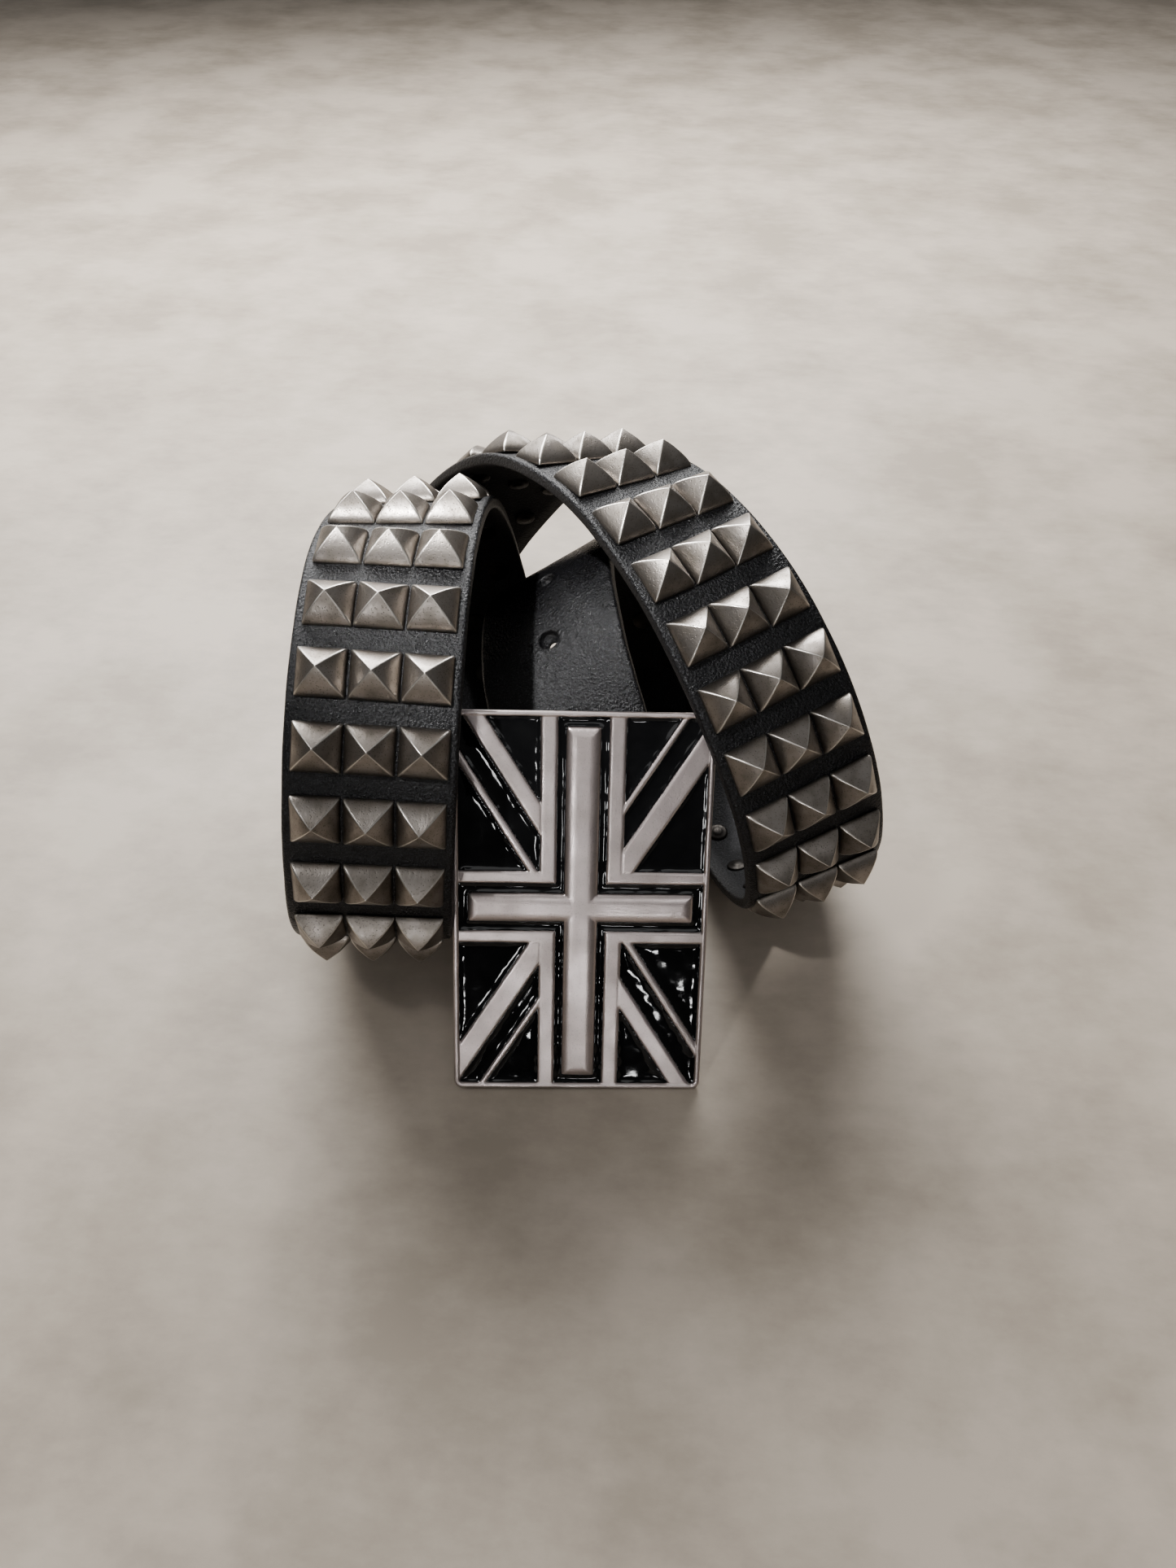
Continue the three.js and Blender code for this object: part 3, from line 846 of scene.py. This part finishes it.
def makePewter():
    material, tree, shader, tarnish, colour = clouded("oldPewter", studs)
    ridge = addNode(tree, "ShaderNodeAttribute", attribute_name="ridge").outputs["Fac"]
    # the ridge mark lightens the colour: wear, and a painted highlight along the ridges and apex
    wornAndHighlight = maths(tree, "POWER", ridge, studs["wearAndHighlightPower"])
    grime = maths(tree, "MULTIPLY", tarnish["Pits"], studs["grimeShare"])
    colour = blend(tree, grime, colour, studs["grime"])
    colour = blend(tree, maths(tree, "MULTIPLY", wornAndHighlight, studs["wearAndHighlightShare"]), colour, studs["wornAndHighlight"])
    tree.links.new(colour, shader.inputs["Base Color"])
    rough = maths(tree, "MULTIPLY_ADD", tarnish["Cloud"], studs["cloudRoughness"], studs["roughness"])
    rough = maths(tree, "MULTIPLY_ADD", tarnish["Pits"], studs["pitRoughness"], rough)
    rough = maths(tree, "SUBTRACT", rough, maths(tree, "MULTIPLY", wornAndHighlight, studs["wornPolish"]))
    tree.links.new(rough, shader.inputs["Roughness"])
    scratches = maths(tree, "MULTIPLY", tarnish["Scratches"], studs["scratchShare"])
    height = maths(tree, "SUBTRACT", scratches, tarnish["Pits"])
    addBump(tree, shader, height, studs["reliefStrength"], studs["reliefDepth"])
    return material


def makeStudRow(row, material):
    vertices, faces, ridges = [], [], []
    for seat, across, ahead, out in studSeats(row):
        half = studs["base"] / 2 * random.uniform(0.985, 1.0)
        height = studs["height"] * random.uniform(0.97, 1.0)
        shell, sides, marks = studShell(half, height)
        turned = Matrix.Rotation(math.radians(random.uniform(-1, 1) * studs["turn"]), 3, "Z")
        turned = turned @ Matrix.Rotation(math.radians(random.uniform(-1, 1) * studs["tilt"]), 3, "X")
        turned = turned @ Matrix.Rotation(math.radians(random.uniform(-1, 1) * studs["tilt"]), 3, "Y")
        aside = random.uniform(-1, 1) * studs["drift"]
        base = len(vertices)
        for vertex in shell:
            x, y, z = turned @ vertex
            vertices.append(seat + (x + aside) * across - y * ahead + z * out)
        faces += [tuple(base + index for index in face) for face in sides]
        ridges += marks
    piece = newPiece(f"studs_{row + 1:02d}", vertices, faces, material)
    mark = piece.data.attributes.new("ridge", "FLOAT", "POINT")
    mark.data.foreach_set("value", ridges)
    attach(piece, "root")
    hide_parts(f"stud_row_{row + 1:02d}")


# width against height, as shares of the rivet's own size
rivetProfile = [
    (1.0, -0.3), (1.0, 0.25), (0.93, 0.5), (0.8, 0.62), (0.62, 0.66), (0.5, 0.85), (0.3, 1.0), (0.1, 1.04),
]


def makeRivets(material):
    profile = [(width * rivets["radius"], strap["thickness"] + rise * rivets["rise"])
               for width, rise in rivetProfile]
    shapes = []
    for row in range(studs["rows"]):
        for place in studSeats(row):
            aside = [random.uniform(-1, 1) * rivets["aside"] for way in range(2)]
            shapes.append(turnedShape(place, profile, rivets["sides"], aside))
    piece = newPiece("rivetBacks", *joinShapes(shapes), material)
    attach(piece, "root")


pewter = makePewter()
for studRow in range(studs["rows"]):
    makeStudRow(studRow, pewter)
makeRivets(makePlainMetal("rivetsDarkenedAsShade", rivets))
print("studs and rivets made")


# The buckle's face, a height over each point of the plate, in millimetres until it is placed

buckle = {
    "halfWidth": 35.1,
    "halfLength": 55.0,
    "corner": 2.4,
    "rim": 1.7,
    "floor": -1.8,
    "edge": 1.0,
    "thickness": 4.2,
    "edgeInset": 0.35,
    "edgeBevel": 0.5,
    "backInset": 3.2,
    "crossHalfWidth": 4.75,
    "crossHalfLength": 51.0,
    "armHalfWidth": 4.3,
    "armHalfLength": 31.1,
    "crossRise": 2.4,
    "stripRise": 1.5,
    "sideChannel": 1.85,
    "sideStrip": 5.0,
    "armChannel": 2.45,
    "armStrip": 3.9,
    # low and high edge of each diagonal band where it meets the side strip, from the middle
    "fallingBands": ((20.46, 30.8), (5.28, 10.45)),
    "risingBands": ((26.73, 30.69), (5.61, 17.93)),
    # each raised form climbs in two steps: a share of its height over a distance from its foot
    "rimShoulders": ((0.75, 0.25), (0.25, 0.7)),
    "crossShoulders": ((0.46, 0.3), (0.54, 3.2)),
    "stripShoulders": ((0.62, 0.3), (0.38, 1.1)),
    "outerDrop": 0.45,
    "outerRound": 0.6,
    # amount, size and layer of each unevenness
    "wander": ((0.07, 6, 1.3), (0.02, 1, 8.1)),
    "swell": (0.07, 7, 2.2),
    "barCorner": 0.8,
    "cell": 0.4,
    "lineSpread": 0.16,
    "lineGap": 0.07,
    "lean": 32.4,
    "turn": 2.0,
    "roll": -1.3,
    "spot": (-0.0016416, -0.0830862, 0.0011507),
    "bright": (0.55, 0.49, 0.48, 1),
    "dull": (0.40, 0.355, 0.34, 1),
    "grime": (0.12, 0.10, 0.085, 1),
    "grimeShare": 0.25,
    "cloudScale": 95.0,
    "pitScale": 1300.0,
    "scratchScale": 900.0,
    "roughness": 0.30,
    "cloudRoughness": 0.10,
    "scratchShare": 0.5,
    "reliefStrength": 0.22,
    "reliefDepth": 0.00006,
}

enamel = {
    "cell": 0.45,
    "margin": 0.8,
    "level": -0.98,
    "waves": ((0.10, 6, 3.1), (0.03, 2.2, 9.4)),
    "climb": 0.34,
    "climbWave": (0.14, 3, 6.6),
    "climbReach": 0.6,
    "overlap": 0.01,
    "slab": 1.35,
    "black": (0.0045, 0.0045, 0.005, 1),
    "smeared": (0.008, 0.008, 0.0085, 1),
    "smearScale": 120.0,
    "rippleScale": 420.0,
    "rippleStrength": 0.14,
    "rippleDepth": 0.00012,
    "roughness": (0.03, 0.10),
    "specular": 0.35,
}

fittings = {
    "bright": (0.50, 0.49, 0.48, 1),
    "dull": (0.30, 0.28, 0.26, 1),
    "cloudScale": 150.0,
    "pitScale": 1800.0,
    "scratchScale": 1200.0,
    "roughness": 0.28,
    "scratchRoughness": 0.2,
    "pitStrength": 0.2,
    "pitDepth": 0.00005,
}


def buckleMatrix():
    place = Matrix.Translation(Vector(buckle["spot"]) + modelShift)
    turn = Matrix.Rotation(math.radians(buckle["turn"]), 4, "Z")
    tip = Matrix.Rotation(math.radians(90 - buckle["lean"]), 4, "X")
    roll = Matrix.Rotation(math.radians(buckle["roll"]), 4, "Z")
    lift = Matrix.Translation((0, buckle["halfLength"] / 1000, 0))
    return place @ turn @ tip @ roll @ lift @ Matrix.Scale(0.001, 4)


def boxDistance(x, y, halfX, halfY, radius):
    # how far inside a rounded rectangle a point lies, less than zero outside it
    overX, overY = abs(x) - halfX + radius, abs(y) - halfY + radius
    outside = math.hypot(max(overX, 0), max(overY, 0))
    return radius - outside - min(max(overX, overY), 0)


def shoulder(inside, radius):
    if inside <= 0:
        return 0.0
    share = max(1 - inside / radius, 0)
    return math.sqrt(1 - share * share)


def bandDistances(x, y):
    # the four quadrants' strips and bands, each in its own quadrant's x and y
    right, up = math.copysign(1, x), math.copysign(1, y)
    x, y = abs(x), abs(y)
    fieldX = buckle["halfWidth"] - buckle["rim"]
    fieldY = buckle["halfLength"] - buckle["rim"]
    sideFrom = buckle["crossHalfWidth"] + buckle["sideChannel"]
    sideTo = sideFrom + buckle["sideStrip"]
    armFrom = buckle["armHalfWidth"] + buckle["armChannel"]
    armTo = armFrom + buckle["armStrip"]
    yield min(x - sideFrom, sideTo - x, y - armFrom)
    yield min(y - armFrom, armTo - y, x - sideFrom)
    slope = fieldY / fieldX
    steep = math.hypot(1, slope)
    bands = buckle["fallingBands"] if right * up < 0 else buckle["risingBands"]
    for low, high in bands:
        line = y - slope * (x - sideTo)
        yield min((line - low) / steep, (high - line) / steep, x - sideTo + 1, y - armTo + 1)


def rounded(inside, shoulders):
    return sum(share * shoulder(inside, radius) for share, radius in shoulders)


def waver(x, y, amount, size, layer):
    return amount * noise.noise(Vector((x / size, y / size, layer)))


def metalHeight(x, y):
    # the height of the metal, and how far outside the nearest raised form the point lies
    halfX, halfY, border = buckle["halfWidth"], buckle["halfLength"], buckle["rim"]
    wander = sum(waver(x, y, *wave) for wave in buckle["wander"])
    out = boxDistance(x, y, halfX, halfY, buckle["corner"])
    field = boxDistance(x, y, halfX - border, halfY - border, max(buckle["corner"] - border, 0.4))
    nearest = -field + wander
    height = -buckle["floor"] * rounded(nearest, buckle["rimShoulders"])
    for bar in (
        boxDistance(x, y, buckle["crossHalfWidth"], buckle["crossHalfLength"], buckle["barCorner"]),
        boxDistance(x, y, buckle["armHalfLength"], buckle["armHalfWidth"], buckle["barCorner"]),
    ):
        bar += wander
        height = max(height, buckle["crossRise"] * rounded(bar, buckle["crossShoulders"]))
        nearest = max(nearest, bar)
    for strip in bandDistances(x, y):
        strip += wander
        height = max(height, buckle["stripRise"] * rounded(strip, buckle["stripShoulders"]))
        nearest = max(nearest, strip)
    height += buckle["floor"] + waver(x, y, *buckle["swell"]) * min(out, 1)
    height -= buckle["outerDrop"] * (1 - shoulder(out, buckle["outerRound"]))
    return height, max(-nearest, 0)


def gridLines(half, cell, extra):
    # even lines with some drawn close to each given place, on both sides of the middle
    lines = {round(half * step / math.ceil(half / cell), 4) for step in range(math.ceil(half / cell) + 1)}
    for place in extra:
        spread = buckle["lineSpread"]
        lines |= {round(place + shift, 4) for shift in (-spread, 0.0, spread)}
    lines = sorted(line for line in lines if 0 <= line <= half)
    kept = [lines[0]]
    for line in lines[1:]:
        if line - kept[-1] > buckle["lineGap"]:
            kept.append(line)
    kept[-1] = half
    return [-line for line in reversed(kept[1:])] + kept


def cornerPoint(x, y):
    # the grid's corners are drawn in to the plate's rounded outline
    radius = buckle["corner"]
    overX = abs(x) - buckle["halfWidth"] + radius
    overY = abs(y) - buckle["halfLength"] + radius
    if overX <= 0 or overY <= 0:
        return x, y
    u, v = overX / radius, overY / radius
    newX = buckle["halfWidth"] - radius + radius * u * math.sqrt(1 - v * v / 2)
    newY = buckle["halfLength"] - radius + radius * v * math.sqrt(1 - u * u / 2)
    return math.copysign(newX, x), math.copysign(newY, y)


def buckleGrid():
    rim = buckle["rim"]
    sideFrom = buckle["crossHalfWidth"] + buckle["sideChannel"]
    armFrom = buckle["armHalfWidth"] + buckle["armChannel"]
    acrossPlaces = (buckle["crossHalfWidth"], sideFrom, sideFrom + buckle["sideStrip"],
                    buckle["armHalfLength"], buckle["halfWidth"] - rim, buckle["halfWidth"] - 0.1)
    upPlaces = (buckle["armHalfWidth"], armFrom, armFrom + buckle["armStrip"],
                buckle["crossHalfLength"], buckle["halfLength"] - rim, buckle["halfLength"] - 0.1)
    return (gridLines(buckle["halfWidth"], buckle["cell"], acrossPlaces),
            gridLines(buckle["halfLength"], buckle["cell"], upPlaces))


def outlineLoop(columns, rows):
    # the grid's edge, anticlockwise as seen from the front
    loop = [column for column in range(columns)]
    loop += [row * columns + columns - 1 for row in range(1, rows)]
    loop += [(rows - 1) * columns + column for column in range(columns - 2, -1, -1)]
    loop += [row * columns for row in range(rows - 2, 0, -1)]
    return loop


def makeBuckleFace(material):
    columns, rows = buckleGrid()
    vertices = []
    for y in rows:
        for x in columns:
            placeX, placeY = cornerPoint(x, y)
            vertices.append((placeX, placeY, metalHeight(placeX, placeY)[0]))
    faces = []
    width = len(columns)
    for row in range(len(rows) - 1):
        for column in range(width - 1):
            a = row * width + column
            faces.append((a, a + 1, a + width + 1, a + width))
    # then the plate's edge and its back, as rings drawn in from the outline
    loop = outlineLoop(width, len(rows))
    size = len(loop)
    rings = [
        (0.0, -buckle["edge"]),
        (buckle["edgeInset"], -buckle["edge"] - buckle["edgeBevel"]),
        (buckle["backInset"], -buckle["thickness"]),
    ]
    previous = loop
    for inset, z in rings:
        ring = []
        for index in loop:
            x, y, height = vertices[index]
            x *= 1 - inset / buckle["halfWidth"]
            y *= 1 - inset / buckle["halfLength"]
            ring.append(len(vertices))
            vertices.append((x, y, z))
        for side in range(size):
            after = (side + 1) % size
            faces.append((previous[side], ring[side], ring[after], previous[after]))
        previous = ring
    faces.append(tuple(reversed(previous)))
    place = buckleMatrix()
    piece = newPiece("buckleFace", [place @ Vector(vertex) for vertex in vertices], faces, material)
    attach(piece, "root")
    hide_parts("buckle_plate")


def enamelHeight(x, y, away):
    # it climbs a little against the metal
    level = enamel["level"] + sum(waver(x, y, *wave) for wave in enamel["waves"])
    climb = enamel["climb"] + waver(x, y, *enamel["climbWave"])
    return level + climb * math.exp(-away / enamel["climbReach"])


def enamelCells(columns, rows):
    # the enamel's surface, and the cells of it that the metal doesn't cover
    tops, shown = [], []
    for y in rows:
        for x in columns:
            height, away = metalHeight(x, y)
            level = enamelHeight(x, y, away)
            tops.append((x, y, level))
            shown.append(height < level + enamel["overlap"])
    width = len(columns)
    cells = []
    for row in range(len(rows) - 1):
        for column in range(width - 1):
            a = row * width + column
            corners = (a, a + 1, a + width + 1, a + width)
            if any(shown[corner] for corner in corners):
                cells.append(corners)
    return tops, cells


def makeEnamel(material):
    columns = gridLines(buckle["halfWidth"] - enamel["margin"], enamel["cell"], ())
    rows = gridLines(buckle["halfLength"] - enamel["margin"], enamel["cell"], ())
    tops, cells = enamelCells(columns, rows)
    place = buckleMatrix()
    shape = bmesh.new()
    used = {}
    for corners in cells:
        for corner in corners:
            if corner not in used:
                used[corner] = shape.verts.new(place @ Vector(tops[corner]))
        shape.faces.new([used[corner] for corner in corners])
    # a closed slab, its underside hidden in the plate below the pocket's floor
    slab = bmesh.ops.extrude_face_region(shape, geom=list(shape.faces))
    deep = [item for item in slab["geom"] if isinstance(item, bmesh.types.BMVert)]
    down = place.to_3x3() @ Vector((0, 0, -enamel["slab"]))
    bmesh.ops.translate(shape, verts=deep, vec=down)
    bmesh.ops.recalc_face_normals(shape, faces=shape.faces)
    mesh = bpy.data.meshes.new("buckleEnamel")
    shape.to_mesh(mesh)
    shape.free()
    piece = pieceFromMesh("buckleEnamel", mesh, material)
    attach(piece, "root")


def makeNickel():
    material, tree, shader, tarnish, colour = clouded("satinNickel", buckle)
    grime = maths(tree, "MULTIPLY", tarnish["Pits"], buckle["grimeShare"])
    tree.links.new(blend(tree, grime, colour, buckle["grime"]), shader.inputs["Base Color"])
    rough = maths(tree, "MULTIPLY_ADD", tarnish["Cloud"], buckle["cloudRoughness"], buckle["roughness"])
    tree.links.new(rough, shader.inputs["Roughness"])
    scratches = maths(tree, "MULTIPLY", tarnish["Scratches"], buckle["scratchShare"])
    height = maths(tree, "SUBTRACT", scratches, tarnish["Pits"])
    addBump(tree, shader, height, buckle["reliefStrength"], buckle["reliefDepth"])
    return material


def makeEnamelFinish():
    material, tree, shader = newMaterial("blackEnamel")
    place = addNode(tree, "ShaderNodeTexCoord").outputs["Object"]
    ripple = addNode(tree, "ShaderNodeTexNoise",
                     {"Vector": place, "Scale": enamel["rippleScale"], "Detail": 3.0})
    smear = addNode(tree, "ShaderNodeTexNoise",
                    {"Vector": place, "Scale": enamel["smearScale"], "Detail": 6.0})
    colour = ramp(tree, smear.outputs["Fac"], [(0.4, enamel["black"]), (0.8, enamel["smeared"])])
    tree.links.new(colour, shader.inputs["Base Color"])
    rough = ramp(tree, smear.outputs["Fac"], list(zip((0.35, 0.8), enamel["roughness"])))
    tree.links.new(rough, shader.inputs["Roughness"])
    shader.inputs["Specular IOR Level"].default_value = enamel["specular"]
    addBump(tree, shader, ripple.outputs["Fac"], enamel["rippleStrength"], enamel["rippleDepth"])
    return material


makeBuckleFace(makeNickel())
makeEnamel(makeEnamelFinish())
steel = makePlainMetal("fittingSteel", fittings)
for nodeName in ("buckle_bail", "buckle_hook"):
    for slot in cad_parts[nodeName].material_slots:
        slot.material = steel
print("buckle made")

bpy.context.view_layer.update()
